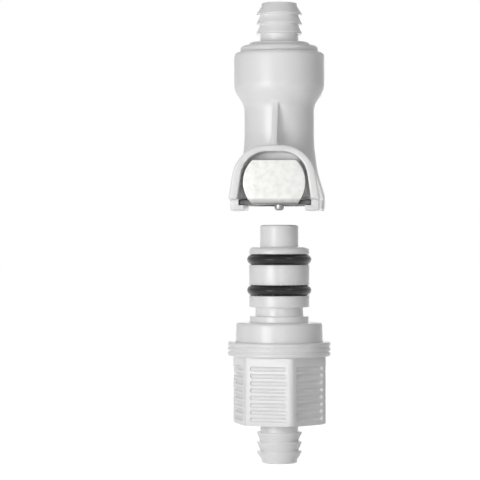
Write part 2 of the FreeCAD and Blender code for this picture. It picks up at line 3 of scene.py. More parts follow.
import bpy
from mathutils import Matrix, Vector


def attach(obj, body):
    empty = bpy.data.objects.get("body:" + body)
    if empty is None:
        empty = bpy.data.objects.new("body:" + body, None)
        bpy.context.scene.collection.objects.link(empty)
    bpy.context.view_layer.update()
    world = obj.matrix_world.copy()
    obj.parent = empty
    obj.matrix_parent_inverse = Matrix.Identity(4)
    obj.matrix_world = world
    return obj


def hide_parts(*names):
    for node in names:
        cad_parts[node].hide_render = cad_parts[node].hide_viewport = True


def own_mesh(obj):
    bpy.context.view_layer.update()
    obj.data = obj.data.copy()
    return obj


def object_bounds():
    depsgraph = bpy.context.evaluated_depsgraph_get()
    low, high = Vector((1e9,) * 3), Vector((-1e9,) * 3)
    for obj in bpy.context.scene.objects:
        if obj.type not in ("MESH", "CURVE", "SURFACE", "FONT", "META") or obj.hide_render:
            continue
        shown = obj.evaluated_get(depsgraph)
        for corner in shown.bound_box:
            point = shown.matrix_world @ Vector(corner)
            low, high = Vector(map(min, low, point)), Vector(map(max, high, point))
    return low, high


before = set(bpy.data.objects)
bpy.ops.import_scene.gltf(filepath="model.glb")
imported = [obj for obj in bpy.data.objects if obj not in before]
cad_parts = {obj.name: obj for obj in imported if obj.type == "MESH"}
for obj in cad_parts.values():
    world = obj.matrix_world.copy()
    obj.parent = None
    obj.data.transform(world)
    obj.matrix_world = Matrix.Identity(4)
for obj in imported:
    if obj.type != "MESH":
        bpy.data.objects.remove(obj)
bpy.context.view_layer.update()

# End cap of the body: a ring with a shallow step, a plug that is welded into the collar, and the
# upper hose barb, moulded in one piece of white acetal. The flat step is where the hose stops.
MM = 0.001
TURN_SIDES = 128
ROUND_STEPS = 5
SMOOTH_ANGLE = math.radians(33)
SNAP = 0.015 * MM


def take(piece):
    """Select one piece alone and make it the active one."""
    bpy.ops.object.select_all(action="DESELECT")
    piece.select_set(True)
    bpy.context.view_layer.objects.active = piece


def apply_place(piece):
    """Put a piece's place, turn and scale into its mesh."""
    take(piece)
    bpy.ops.object.transform_apply(location=True, rotation=True, scale=True)


def settle(name):
    """Name the piece that was just added, and put its place into its mesh."""
    piece = bpy.context.object
    piece.name = piece.data.name = name
    apply_place(piece)
    return piece


def pick(piece, kind, test):
    """Go into edit mode with the vertices or edges selected whose points all pass a test."""
    if bpy.context.mode != "OBJECT":
        bpy.ops.object.mode_set(mode="OBJECT")
    take(piece)
    bpy.ops.object.mode_set(mode="EDIT")
    bpy.ops.mesh.select_mode(type=kind)
    bpy.ops.mesh.select_all(action="DESELECT")
    bpy.ops.object.mode_set(mode="OBJECT")
    passed = [test(point.co) for point in piece.data.vertices]
    if kind == "VERT":
        for point, good in zip(piece.data.vertices, passed):
            point.select = good
    else:
        for edge in piece.data.edges:
            edge.select = all(passed[index] for index in edge.vertices)
    bpy.ops.object.mode_set(mode="EDIT")


def close_up(piece):
    """Point the faces outwards, leave edit mode and smooth all but the sharp edges."""
    bpy.ops.mesh.select_all(action="SELECT")
    bpy.ops.mesh.normals_make_consistent(inside=False)
    bpy.ops.object.mode_set(mode="OBJECT")
    take(piece)
    bpy.ops.object.shade_smooth_by_angle(angle=SMOOTH_ANGLE)


def turn(name, rings, hollow=True):
    """Turned piece from (radius, z, edge setback) rings in mm: a circle is extruded from ring to
    ring and joined to its start, or capped at both ends, and rings with a setback are bevelled."""
    bpy.ops.object.select_all(action="DESELECT")
    first_radius, first_z, _ = rings[0]
    bpy.ops.mesh.primitive_circle_add(
        vertices=TURN_SIDES, radius=first_radius * MM, location=(0, 0, first_z * MM))
    piece = settle(name)
    bpy.ops.object.mode_set(mode="EDIT")
    bpy.ops.mesh.select_mode(type="EDGE")
    bpy.ops.mesh.select_all(action="SELECT")
    for (radius, z, _), (next_radius, next_z, _) in zip(rings, rings[1:]):
        bpy.ops.mesh.extrude_edges_move(TRANSFORM_OT_translate={"value": (0, 0, 0)})
        share = next_radius / radius
        bpy.ops.transform.resize(value=(share, share, 1), center_override=(0, 0, z * MM))
        bpy.ops.transform.translate(value=(0, 0, (next_z - z) * MM))
    bpy.ops.mesh.select_all(action="DESELECT")
    bpy.ops.mesh.select_non_manifold()
    if hollow:
        bpy.ops.mesh.bridge_edge_loops()
    else:
        bpy.ops.mesh.fill_holes(sides=0)
    for radius, z, setback in rings:
        if setback:
            pick(piece, "EDGE", lambda p: (
                abs(math.hypot(p.x, p.y) - radius * MM) < SNAP and abs(p.z - z * MM) < SNAP))
            bpy.ops.mesh.bevel(
                offset=setback * MM, segments=ROUND_STEPS, profile=0.5, affect="EDGES")
    close_up(piece)
    return piece


class Signal:
    """A shader socket that can stand in an expression: each operator adds a Math node."""

    def __init__(self, bench, socket):
        self.bench = bench
        self.socket = socket

    def maths(self, operation, first, second):
        return self.bench.add("ShaderNodeMath", {"operation": operation}, {0: first, 1: second})

    def __add__(self, other):
        return self.maths("ADD", self, other)

    def __radd__(self, other):
        return self.maths("ADD", other, self)

    def __sub__(self, other):
        return self.maths("SUBTRACT", self, other)

    def __rsub__(self, other):
        return self.maths("SUBTRACT", other, self)

    def __mul__(self, other):
        return self.maths("MULTIPLY", self, other)

    def __rmul__(self, other):
        return self.maths("MULTIPLY", other, self)


class Bench:
    """A shader in the making: add() gives any node, and its output comes back as a Signal."""

    def __init__(self, tree):
        self.tree = tree

    def feed(self, socket, value):
        if isinstance(value, Signal):
            self.tree.links.new(value.socket, socket)
        else:
            socket.default_value = value

    def add(self, kind, settings=None, inputs=None, output=0):
        node = self.tree.nodes.new(kind)
        for key, value in (settings or {}).items():
            if key == "stops":
                for stop, (position, grey) in zip(node.color_ramp.elements, value):
                    stop.position = position
                    stop.color = (grey, grey, grey, 1)
            else:
                setattr(node, key, value)
        for key, value in (inputs or {}).items():
            self.feed(node.inputs[key], value)
        return Signal(self, node.outputs[output])


class Finish(Bench):
    """The surface of one material, worked out in the piece's own coordinates."""

    def __init__(self, name):
        self.material = bpy.data.materials.new(name)
        self.material.use_nodes = True
        super().__init__(self.material.node_tree)
        self.shader = self.tree.nodes["Principled BSDF"]
        self.place = self.add("ShaderNodeTexCoord", output="Object")

    def noise(self, scale, detail=2.0, roughness=0.5):
        return self.add("ShaderNodeTexNoise", {}, {
            "Vector": self.place, "Scale": scale, "Detail": detail, "Roughness": roughness})

    def blend(self, share, light, dark):
        """Colour between two greys or colours, by a share from 0 to 1."""
        return self.add("ShaderNodeMix", {"data_type": "RGBA"}, {
            0: share, 6: (*light, 1), 7: (*dark, 1)}, output=2)

    def relief(self, height, depth_mm, strength=1.0):
        return self.add("ShaderNodeBump", {}, {
            "Strength": strength, "Distance": depth_mm * MM, "Height": height})

    def shade(self, **values):
        """Set the shader's sockets; an underscore in a name stands for a space."""
        for key, value in values.items():
            self.feed(self.shader.inputs[key.replace("_", " ")], value)
        return self.material


def acetal(name, light, dark, roughness):
    """Moulded white acetal: a little cloudy, satin, with sink ripples and a fine mould grain."""
    finish = Finish(name)
    cloud = finish.noise(90.0, 3.0)
    grain = finish.noise(3200.0, 2.0, 0.6)
    ripple = finish.noise(260.0, 2.0, 0.4)
    return finish.shade(
        Base_Color=finish.blend(cloud, light, dark),
        Roughness=grain * 0.1 + ripple * 0.08 + (roughness - 0.09),
        Normal=finish.relief(ripple * 0.8 + grain * 0.2, 0.03, 0.5),
        IOR=1.48, Subsurface_Weight=0.4, Subsurface_Radius=(1.0, 1.0, 1.0),
        Subsurface_Scale=0.003)


ACETAL = acetal("white_acetal", (0.9, 0.9, 0.895), (0.86, 0.86, 0.86), 0.32)


def dress(piece, material):
    """Give a piece one material all over."""
    piece.data.materials.clear()
    piece.data.materials.append(material)


def join_frame(piece, material, node, body):
    """Finish a piece that stands for a solid of the frame."""
    dress(piece, material)
    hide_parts(node)
    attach(piece, body)


BARB_ROOT = 4.65
BARB_CREST = 5.5
BARB_TIP = 4.35
FLOW_BORE = 3.2
BARB_FIRST = 2.1
BARB_PITCH = 2.3
BARB_LAND = 0.4
BARB_LENGTH = 9.6
BARB_ROWS = 3


def barb(stop_z, way):
    """Rings of a hose barb from its stop to its tip; way is 1 for a barb that points up."""
    rings = [(BARB_ROOT, stop_z, 0)]
    for row in range(BARB_ROWS):
        start = stop_z + way * (BARB_FIRST + row * BARB_PITCH)
        valley = BARB_TIP if row == BARB_ROWS - 1 else BARB_ROOT
        rings.append((BARB_ROOT, start, 0.08))
        rings.append((BARB_CREST, start, 0.06))
        rings.append((BARB_CREST, start + way * BARB_LAND, 0.06))
        rings.append((valley, start + way * (BARB_PITCH - 0.1), 0))
    rings.append((BARB_TIP, stop_z + way * BARB_LENGTH, 0.2))
    rings.append((FLOW_BORE, stop_z + way * BARB_LENGTH, 0.15))
    return rings


CAP_RADIUS = 9.5
CAP_TOP = -0.8
CAP_BOTTOM = -2.4
CAP_STEP_RADIUS = 7.3
PLUG_RADIUS = 8.47
PLUG_BORE = 6.2
PLUG_BOTTOM = -6.8
PLUG_CONE_TOP = -3.8
CAP_GROOVE = 6.96
CAP_GROOVE_BOTTOM = -4.94
CAP_GROOVE_TOP = -3.4
end_cap = turn("end_cap_moulding", [
    (PLUG_BORE, PLUG_BOTTOM, 0),
    (PLUG_RADIUS, PLUG_BOTTOM, 0.3),
    (PLUG_RADIUS, CAP_GROOVE_BOTTOM, 0),
    (CAP_GROOVE, CAP_GROOVE_BOTTOM, 0),
    (CAP_GROOVE, CAP_GROOVE_TOP, 0),
    (PLUG_RADIUS, CAP_GROOVE_TOP, 0),
    (PLUG_RADIUS, CAP_BOTTOM, 0),
    (CAP_RADIUS, CAP_BOTTOM, 0.1),
    (CAP_RADIUS, CAP_TOP, 0.9),
    (CAP_STEP_RADIUS, CAP_TOP, 0.25),
    (CAP_STEP_RADIUS, 0, 0.35),
] + barb(0, 1) + [(FLOW_BORE, PLUG_CONE_TOP, 0.3)])
join_frame(end_cap, ACETAL, "body_end_cap", "body_half")

# Sealing rings of the two plugs, which lie hidden in the collar and in the grip sleeve: small round
# cords of black moulded rubber, pressed into their grooves when the halves were welded.


def rubber(name, dark, bloom_tone, roughness):
    """Black moulded rubber with a faint grey bloom."""
    finish = Finish(name)
    bloom = finish.noise(420.0, 4.0, 0.6)
    pores = finish.noise(5200.0, 2.0, 0.6)
    return finish.shade(
        Base_Color=finish.blend(bloom, dark, bloom_tone),
        Roughness=bloom * 0.06 + (roughness - 0.03),
        Normal=finish.relief(pores, 0.006, 0.15),
        IOR=1.38)


RUBBER = rubber("black_rubber", (0.006, 0.006, 0.006), (0.011, 0.011, 0.011), 0.27)
for node in ("end_cap_seal", "insert_joint_seal", "body_valve_seal", "insert_valve_seal"):
    dress(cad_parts[node], RUBBER)

# Coupling body: one moulding of white acetal. The collar runs through a round shoulder into the
# neck and flares into the skirt; in front stand the hood around the thumb pad, its thin rib and the
# two feet. The solid outside is blended first, then the socket and the latch's slot are cut sharp.
COLLAR_RADIUS = 11.0
COLLAR_BOTTOM = -11.6
NECK_RADIUS = 8.5
NECK_TOP = -15.6
NECK_BOTTOM = -24.5
FLARE_RADIUS = 9.3
FLARE_LEVEL = -31.2
SKIRT_RADIUS = 11.15
SKIRT_TOP = -37.4
MOUTH = -41.1
HOOD_FRONT = -13.5
HOOD_BACK = -2.0
HOOD_TOP = -25.4
HOOD_HALF_TOP = 8.8
HOOD_HALF_BOTTOM = 11.0
HOOD_BACK_HALF_TOP = 7.0
HOOD_BACK_DROP = 2.0
HOOD_MID_LEVEL = -30.0
HOOD_MID_DEPTH = -5.0
CORNER_CLEAR = 3.0
HOOD_WALL = 1.6
HOOD_CORNER = 6.7
POCKET_CORNER = 5.3
POCKET_FLOOR = -8.6
SLOT_TOP = -38.36
SLOT_BOTTOM = -39.75
PLATE_HALF = 8.65
PLATE_BACK = 9.7
SLIDE_GAP = 0.07
FOOT_HALF = 10.7
FOOT_FRONT = -11.3
FOOT_GAP_HALF = 7.2
REAR_GAP_HALF = 9.3
REACH = 30.0
RIB_HALF = 0.65
RIB_TOP = -14.4
RIB_BACK = -8.15
RIB_LEAN = 4.3
PIN_X = 0.9
PIN_Y = -9.5
BOSS_RADIUS = 1.8
BOSS_TOP = -33.86
PIN_BORE = 1.4
PIN_BORE_TOP = -34.66
SPRING_SEAT_RADIUS = 1.85
SPRING_SEAT_DEPTH = 0.3
SPRING_LEVEL = -31.83
CHAMBER_RADIUS = 8.5
CHAMBER_BOTTOM = -11.8
VALVE_WAY = 6.8
VALVE_WAY_TOP = -12.4
VALVE_SEAT = -16.6
SEAT_RADIUS = 4.4
THROAT_RADIUS = 5.0
THROAT_TOP = -19.9
SOCKET_TOP = -22.6
SOCKET_RADIUS = 7.9
SOCKET_FUNNEL = 0.4
BLEND_VOXEL = 0.21
BLEND_ROUNDS = 10


def block(name, low, high):
    """Block between two corners in mm."""
    bpy.ops.object.select_all(action="DESELECT")
    bpy.ops.mesh.primitive_cube_add(
        size=1, location=[(a + b) / 2 * MM for a, b in zip(low, high)],
        scale=[(b - a) * MM for a, b in zip(low, high)])
    return settle(name)


def rod(name, radius, low, high, axis="Z", centre=(0, 0)):
    """Round rod between two places along an axis in mm; centre is its place across that axis."""
    turns = {"X": (0, math.radians(90), 0), "Y": (math.radians(90), 0, 0), "Z": (0, 0, 0)}
    middle = (low + high) / 2
    places = {
        "X": (middle, centre[0], centre[1]),
        "Y": (centre[0], middle, centre[1]),
        "Z": (centre[0], centre[1], middle),
    }
    bpy.ops.object.select_all(action="DESELECT")
    bpy.ops.mesh.primitive_cylinder_add(
        vertices=TURN_SIDES // 4 if radius < 1 else TURN_SIDES, radius=radius * MM,
        depth=(high - low) * MM, location=[v * MM for v in places[axis]], rotation=turns[axis])
    return settle(name)


def combine(piece, others, operation):
    """Join other solids to a piece, cut them from it or keep what they share, and use them up."""
    take(piece)
    for other in others:
        change = piece.modifiers.new(operation, "BOOLEAN")
        change.operation = operation
        change.solver = "EXACT"
        change.object = other
        bpy.ops.object.modifier_apply(modifier=change.name)
        bpy.data.objects.remove(other)


def shift(piece, test, value=(0, 0, 0), scale=(1, 1, 1)):
    """Scale about the origin, then move in mm, the points of a piece that pass a test."""
    pick(piece, "VERT", test)
    bpy.ops.transform.resize(value=scale, center_override=(0, 0, 0))
    bpy.ops.transform.translate(value=[v * MM for v in value])
    bpy.ops.object.mode_set(mode="OBJECT")


def round_off(piece, test, setback, steps):
    """Bevel the edges of a piece whose points all pass a test."""
    pick(piece, "EDGE", test)
    bpy.ops.mesh.bevel(offset=setback * MM, segments=steps, profile=0.5, affect="EDGES")
    close_up(piece)


def blend_over(piece, voxel, rounds):
    """Melt a solid's edges and joints together, as a mould or a tumbler rounds them."""
    melt = piece.modifiers.new("melt", "REMESH")
    melt.mode = "VOXEL"
    melt.voxel_size = voxel * MM
    bpy.ops.object.modifier_apply(modifier=melt.name)
    soften = piece.modifiers.new("soften", "SMOOTH")
    soften.factor = 0.5
    soften.iterations = rounds
    bpy.ops.object.modifier_apply(modifier=soften.name)


moulding = turn("coupling_body_moulding", [
    (COLLAR_RADIUS, CAP_BOTTOM, 0.9),
    (COLLAR_RADIUS, COLLAR_BOTTOM, 1.5),
    (NECK_RADIUS, NECK_TOP, 1.0),
    (NECK_RADIUS, NECK_BOTTOM, 2.0),
    (FLARE_RADIUS, FLARE_LEVEL, 1.6),
    (SKIRT_RADIUS, SKIRT_TOP, 0.6),
    (SKIRT_RADIUS, MOUTH, 0.6),
], hollow=False)
hood = block(
    "hood", (-HOOD_HALF_BOTTOM, HOOD_FRONT, SLOT_TOP), (HOOD_HALF_BOTTOM, HOOD_BACK, HOOD_TOP))
shift(hood, lambda p: p.z > HOOD_MID_LEVEL * MM and p.y < HOOD_MID_DEPTH * MM,
      scale=(HOOD_HALF_TOP / HOOD_HALF_BOTTOM, 1, 1))
shift(hood, lambda p: p.z > HOOD_MID_LEVEL * MM and p.y > HOOD_MID_DEPTH * MM,
      (0, 0, -HOOD_BACK_DROP), (HOOD_BACK_HALF_TOP / HOOD_HALF_BOTTOM, 1, 1))
corner_low = HOOD_TOP - HOOD_BACK_DROP - 0.1
for sign in (1, -1):
    round_off(hood, lambda p: p.x * sign > CORNER_CLEAR * MM and p.z > corner_low * MM,
              HOOD_CORNER, 16)
round_off(hood, lambda p: p.y < (HOOD_FRONT + 0.01) * MM, 0.35, 3)
pocket_half_top = HOOD_HALF_TOP - HOOD_WALL
pocket_half_low = pocket_half_top + (HOOD_HALF_BOTTOM - HOOD_HALF_TOP) * (
    (HOOD_TOP - HOOD_WALL - SLOT_TOP) / (HOOD_TOP - MOUTH))
pocket = block("pocket", (-pocket_half_low, -REACH, SLOT_TOP),
               (pocket_half_low, POCKET_FLOOR, HOOD_TOP - HOOD_WALL))
shift(pocket, lambda p: p.z > HOOD_MID_LEVEL * MM,
      scale=(pocket_half_top / pocket_half_low, 1, 1))
for sign in (1, -1):
    round_off(pocket, lambda p: p.x * sign > CORNER_CLEAR * MM and p.z > HOOD_MID_LEVEL * MM,
              POCKET_CORNER, 16)
feet = block("feet", (-FOOT_HALF, FOOT_FRONT, MOUTH), (FOOT_HALF, 0, SLOT_TOP + 0.3))
rib = block("rib", (-RIB_HALF, HOOD_FRONT + 0.3, HOOD_TOP - 0.8), (RIB_HALF, RIB_BACK, RIB_TOP))
shift(rib, lambda p: p.z > NECK_BOTTOM * MM and p.y < RIB_BACK * MM - SNAP, (0, RIB_LEAN, 0))
foot_opening = block("foot_opening", (-FOOT_GAP_HALF, -REACH, MOUTH - 1),
                     (FOOT_GAP_HALF, HOOD_BACK, SLOT_TOP + 0.3))
boss = rod("boss", BOSS_RADIUS, SLOT_TOP, BOSS_TOP, centre=(PIN_X, PIN_Y))
combine(moulding, [hood, feet, rib], "UNION")
combine(moulding, [pocket, foot_opening], "DIFFERENCE")
combine(moulding, [boss], "UNION")
blend_over(moulding, BLEND_VOXEL, BLEND_ROUNDS)
cavity = turn("cavity", [
    (CHAMBER_RADIUS, 1.0, 0),
    (CHAMBER_RADIUS, CHAMBER_BOTTOM, 0),
    (VALVE_WAY, VALVE_WAY_TOP, 0),
    (VALVE_WAY, VALVE_SEAT, 0.3),
    (SEAT_RADIUS, VALVE_SEAT, 0.1),
    (SEAT_RADIUS, THROAT_TOP, 0),
    (THROAT_RADIUS, THROAT_TOP, 0),
    (THROAT_RADIUS, SOCKET_TOP, 0),
    (SOCKET_RADIUS, SOCKET_TOP, 0.3),
    (SOCKET_RADIUS, MOUTH + SOCKET_FUNNEL, 0),
    (SOCKET_RADIUS + SOCKET_FUNNEL, MOUTH, 0),
    (SOCKET_RADIUS + SOCKET_FUNNEL, MOUTH - 1, 0),
], hollow=False)
slot_half = PLATE_HALF + SLIDE_GAP
plate_slot = block("plate_slot", (-slot_half, -REACH, SLOT_BOTTOM), (slot_half, 0.5, SLOT_TOP))
slot_back = rod("slot_back", PLATE_BACK + SLIDE_GAP, SLOT_BOTTOM, SLOT_TOP)
slot_sides = block(
    "slot_sides", (-slot_half, -0.5, SLOT_BOTTOM - 1), (slot_half, REACH, SLOT_TOP + 1))
combine(slot_back, [slot_sides], "INTERSECT")
notch = block("notch", (-REAR_GAP_HALF, 0, MOUTH - 1), (REAR_GAP_HALF, REACH, SLOT_BOTTOM + 0.01))
pin_bore = rod("pin_bore", PIN_BORE, MOUTH, PIN_BORE_TOP, centre=(PIN_X, PIN_Y))
spring_seat = rod("spring_seat", SPRING_SEAT_RADIUS, POCKET_FLOOR - 1,
                  POCKET_FLOOR + SPRING_SEAT_DEPTH, "Y", (0, SPRING_LEVEL))
combine(cavity, [plate_slot, slot_back, notch, pin_bore, spring_seat], "UNION")
combine(moulding, [cavity], "DIFFERENCE")
bpy.ops.object.shade_smooth_by_angle(angle=SMOOTH_ANGLE)
join_frame(moulding, ACETAL, "coupling_body", "body_half")

# Valve of the body, hidden in the collar: a poppet and its spoked guide, both of white acetal, and
# a closing spring of stainless wire between them. The cap traps all three when it is welded in.
VALVE_COIL = 9.6
VALVE_WIRE = 0.7
BODY_SPRING_LOW = -13.87
BODY_SPRING_HIGH = -8.42


def steel(name, light, dark, patch_scale, roughness):
    """Satin stainless steel with the cloudy mottling of tumbled metal."""
    finish = Finish(name)
    cloud = finish.noise(patch_scale, 5.0, 0.6)
    patch = finish.add("ShaderNodeValToRGB", {"stops": [(0.4, 0.0), (0.68, 1.0)]}, {"Fac": cloud})
    scuff = finish.noise(patch_scale * 6, 3.0, 0.7)
    return finish.shade(
        Base_Color=finish.blend(patch, light, dark), Metallic=1.0,
        Roughness=patch * 0.1 + scuff * 0.1 + (roughness - 0.1),
        Normal=finish.relief(scuff, 0.012, 0.35))


WIRE_STEEL = steel("wire_steel", (0.55, 0.55, 0.54), (0.4, 0.4, 0.4), 900.0, 0.3)


def coil(name, outside, wire, turns, low, high):
    """Wire spring standing between two levels in mm: a wire section screwed round the axis."""
    bpy.ops.object.select_all(action="DESELECT")
    bpy.ops.mesh.primitive_circle_add(
        vertices=12, radius=wire / 2 * MM,
        location=((outside - wire) / 2 * MM, 0, (low + wire / 2) * MM),
        rotation=(math.radians(90), 0, 0))
    piece = settle(name)
    winding = piece.modifiers.new("winding", "SCREW")
    winding.angle = math.radians(360 * turns)
    winding.screw_offset = (high - low - wire) * MM
    winding.steps = winding.render_steps = int(36 * turns)
    bpy.ops.object.modifier_apply(modifier=winding.name)
    bpy.ops.object.mode_set(mode="EDIT")
    bpy.ops.mesh.select_all(action="SELECT")
    bpy.ops.mesh.fill_holes(sides=0)
    close_up(piece)
    return piece


for node in ("body_valve_poppet", "body_valve_guide", "insert_valve_guide"):
    dress(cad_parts[node], ACETAL)
body_spring = coil(
    "body_valve_coil", VALVE_COIL, VALVE_WIRE, 3.5, BODY_SPRING_LOW, BODY_SPRING_HIGH)
join_frame(body_spring, WIRE_STEEL, "body_valve_spring", "body_half")
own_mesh(body_spring)

# Thumb latch: stamped from 1.25 mm stainless sheet, tumbled, and bent up in front into the thumb
# pad. The plate slides in the body's slot, and the round hole in it locks behind the insert's land.
PLATE_BOTTOM = -39.68
PLATE_THICK = 1.25
PLATE_TOP = PLATE_BOTTOM + PLATE_THICK
PLATE_FRONT = -10.4
HOLE_RADIUS = 8.05
PAD_RADIUS = 7.5
PAD_FACE = -12.7
PAD_HEIGHT = 10.8
TAB_HALF = 4.7
BEND_INSIDE = 0.6
BEND_OUTSIDE = BEND_INSIDE + PLATE_THICK
KEYHOLE = 1.5
TRACK_HALF = 1.2
TRACK_BACK = -6.0
DEBURR_VOXEL = 0.115
DEBURR_ROUNDS = 3
plate = block("thumb_latch_sheet", (-PLATE_HALF, PLATE_FRONT, PLATE_BOTTOM),
              (PLATE_HALF, 0.5, PLATE_TOP))
plate_back = rod("plate_back", PLATE_BACK, PLATE_BOTTOM, PLATE_TOP)
plate_sides = block(
    "plate_sides", (-PLATE_HALF, -0.5, PLATE_BOTTOM - 1), (PLATE_HALF, REACH, PLATE_TOP + 1))
combine(plate_back, [plate_sides], "INTERSECT")
tab = block("tab", (-TAB_HALF, PAD_FACE, PLATE_BOTTOM), (TAB_HALF, PLATE_FRONT + 0.3, PLATE_TOP))
pad = rod("pad", PAD_RADIUS, PAD_FACE, PAD_FACE + PLATE_THICK, "Y",
          (0, PLATE_BOTTOM + PAD_HEIGHT / 2))
pad_limits = block(
    "pad_limits", (-REACH, -REACH, PLATE_BOTTOM), (REACH, 0, PLATE_BOTTOM + PAD_HEIGHT))
combine(pad, [pad_limits], "INTERSECT")
gusset = block("gusset", (-TAB_HALF, PAD_FACE + PLATE_THICK - 0.1, PLATE_TOP - 0.1),
               (TAB_HALF, PAD_FACE + BEND_OUTSIDE, PLATE_TOP + BEND_INSIDE))
bend_place = (PAD_FACE + BEND_OUTSIDE, PLATE_BOTTOM + BEND_OUTSIDE)
inside_bend = rod("inside_bend", BEND_INSIDE, -REACH, REACH, "X", bend_place)
combine(gusset, [inside_bend], "DIFFERENCE")
combine(plate, [plate_back, tab, pad, gusset], "UNION")
corner = block("corner", (-REACH / 2, PAD_FACE - 1, PLATE_BOTTOM - 1), (REACH / 2, *bend_place))
outside_bend = rod("outside_bend", BEND_OUTSIDE, -REACH, REACH, "X", bend_place)
combine(corner, [outside_bend], "DIFFERENCE")
keyhole = rod("keyhole", KEYHOLE, PLATE_BOTTOM - 1, PLATE_TOP + 1, centre=(PIN_X, PIN_Y))
track = block("track", (PIN_X - TRACK_HALF, PIN_Y, PLATE_BOTTOM - 1),
              (PIN_X + TRACK_HALF, TRACK_BACK, PLATE_TOP + 1))
hole = rod("hole", HOLE_RADIUS, PLATE_BOTTOM - 1, PLATE_TOP + 1)
combine(plate, [corner, keyhole, track, hole], "DIFFERENCE")
blend_over(plate, DEBURR_VOXEL, DEBURR_ROUNDS)
bpy.ops.object.shade_smooth()
PAD_STEEL = steel("latch_steel", (0.43, 0.43, 0.42), (0.365, 0.365, 0.355), 620.0, 0.42)
# Near-black steel for the sheet's cut edges: painted shade and a painted dark reflection, where the
# pocket shades the edges.
PAINTED_SHADE_STEEL = steel("painted_shade_edge_steel", (0.09, 0.09, 0.09), (0.05, 0.05, 0.05), 700.0, 0.5)
join_frame(plate, PAD_STEEL, "thumb_latch", "thumb_latch_plate")
plate.data.materials.append(PAINTED_SHADE_STEEL)
# The plate's cut-edge faces take the painted shade steel as their second material.
for face in plate.data.polygons:
    in_plate = face.center.y > (PLATE_FRONT - 0.3) * MM and face.center.z < PLATE_TOP * MM
    if in_plate and abs(face.normal.z) < 0.7:
        face.material_index = 1

# Latch spring: a short coil of stainless wire between the pocket floor and the back of the pad. The
# pocket holds it by a shallow seat, and it throws the latch out when the pin lets go.
SPRING_SEAT = -8.32
SPRING_END = -11.43
latch_spring = coil("latch_coil", 3.4, 0.45, 3, 0, SPRING_SEAT - SPRING_END)
latch_spring.rotation_euler.x = math.radians(-90)
latch_spring.location = (0, SPRING_END * MM, SPRING_LEVEL * MM)
apply_place(latch_spring)
join_frame(latch_spring, WIRE_STEEL, "latch_spring", "body_half")

# Release pin: a stainless pin with a rounded tip that shows below the latch. Its thick shank fills
# the keyhole and holds the latch pressed in until the insert pushes the pin up into its boss.
PIN_RADIUS = 1.1
SHANK_RADIUS = 1.35
PIN_TIP = -40.98
PIN_SHOULDER = -38.68
PIN_TOP = -36.48
PIN_SPRING_HIGH = -34.68
PIN_STEEL = steel("pin_steel", (0.32, 0.32, 0.32), (0.22, 0.22, 0.22), 900.0, 0.4)
pin = turn("release_pin_turned", [
    (PIN_RADIUS, PIN_TIP, 0.55),
    (PIN_RADIUS, PIN_SHOULDER, 0),
    (SHANK_RADIUS, PIN_SHOULDER, 0.12),
    (SHANK_RADIUS, PIN_TOP, 0.12),
], hollow=False)
shift(pin, lambda p: True, (PIN_X, PIN_Y, 0))
join_frame(pin, PIN_STEEL, "release_pin", "lock_pin")
pin_spring = coil("release_pin_coil", 2.1, 0.3, 3, PIN_TOP + 0.02, PIN_SPRING_HIGH)
shift(pin_spring, lambda p: True, (PIN_X, PIN_Y, 0))
join_frame(pin_spring, WIRE_STEEL, "release_pin_spring", "body_half")
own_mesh(pin_spring)

# Insert body: the front of the plug-in half, moulded in one of white acetal. From the nose down it
# has the front land, two ring grooves with a land between them, the latch groove and the bell.
LAND = 7.35
LAND_TOP = -49.8
RING_1 = -52.8
RING_2 = -60.3
GROOVE_HALF = 1.3
RING_GROOVE = 5.33
LATCH_GROOVE = 5.85
LATCH_GROOVE_TOP = -64.4
LATCH_GROOVE_BOTTOM = -66.6
REAR_LAND = 7.2
BELL_TOP = -68.1
BELL_BOTTOM = -72.8
BELL_RADIUS = 10.65
INNER_SKIRT = 8.8
INNER_SKIRT_BORE = 7.2
INNER_SKIRT_BOTTOM = -78.4
DISC_SEAT = -69.7
NOSE_BORE = 4.75
front_end = turn("insert_body_moulding", [
    (NOSE_BORE, LAND_TOP, 0.12),
    (LAND, LAND_TOP, 1.1),
    (LAND, RING_1 + GROOVE_HALF, 0.12),
    (RING_GROOVE, RING_1 + GROOVE_HALF, 0.2),
    (RING_GROOVE, RING_1 - GROOVE_HALF, 0.2),
    (LAND, RING_1 - GROOVE_HALF, 0.12),
    (LAND, RING_2 + GROOVE_HALF, 0.12),
    (RING_GROOVE, RING_2 + GROOVE_HALF, 0.2),
    (RING_GROOVE, RING_2 - GROOVE_HALF, 0.2),
    (LAND, RING_2 - GROOVE_HALF, 0.12),
    (LAND, LATCH_GROOVE_TOP, 0.15),
    (LATCH_GROOVE, LATCH_GROOVE_TOP, 0.15),
    (LATCH_GROOVE, LATCH_GROOVE_BOTTOM, 0.2),
    (REAR_LAND, LATCH_GROOVE_BOTTOM, 0.15),
    (REAR_LAND, BELL_TOP, 0.2),
    (BELL_RADIUS - 0.15, BELL_TOP, 0.7),
    (BELL_RADIUS, BELL_BOTTOM, 0),
    (INNER_SKIRT, BELL_BOTTOM, 0),
    (INNER_SKIRT, INNER_SKIRT_BOTTOM, 0.15),
    (INNER_SKIRT_BORE, INNER_SKIRT_BOTTOM, 0),
    (INNER_SKIRT_BORE, DISC_SEAT, 0.3),
    (NOSE_BORE, DISC_SEAT, 0.1),
])
join_frame(front_end, ACETAL, "insert_body", "insert_half")

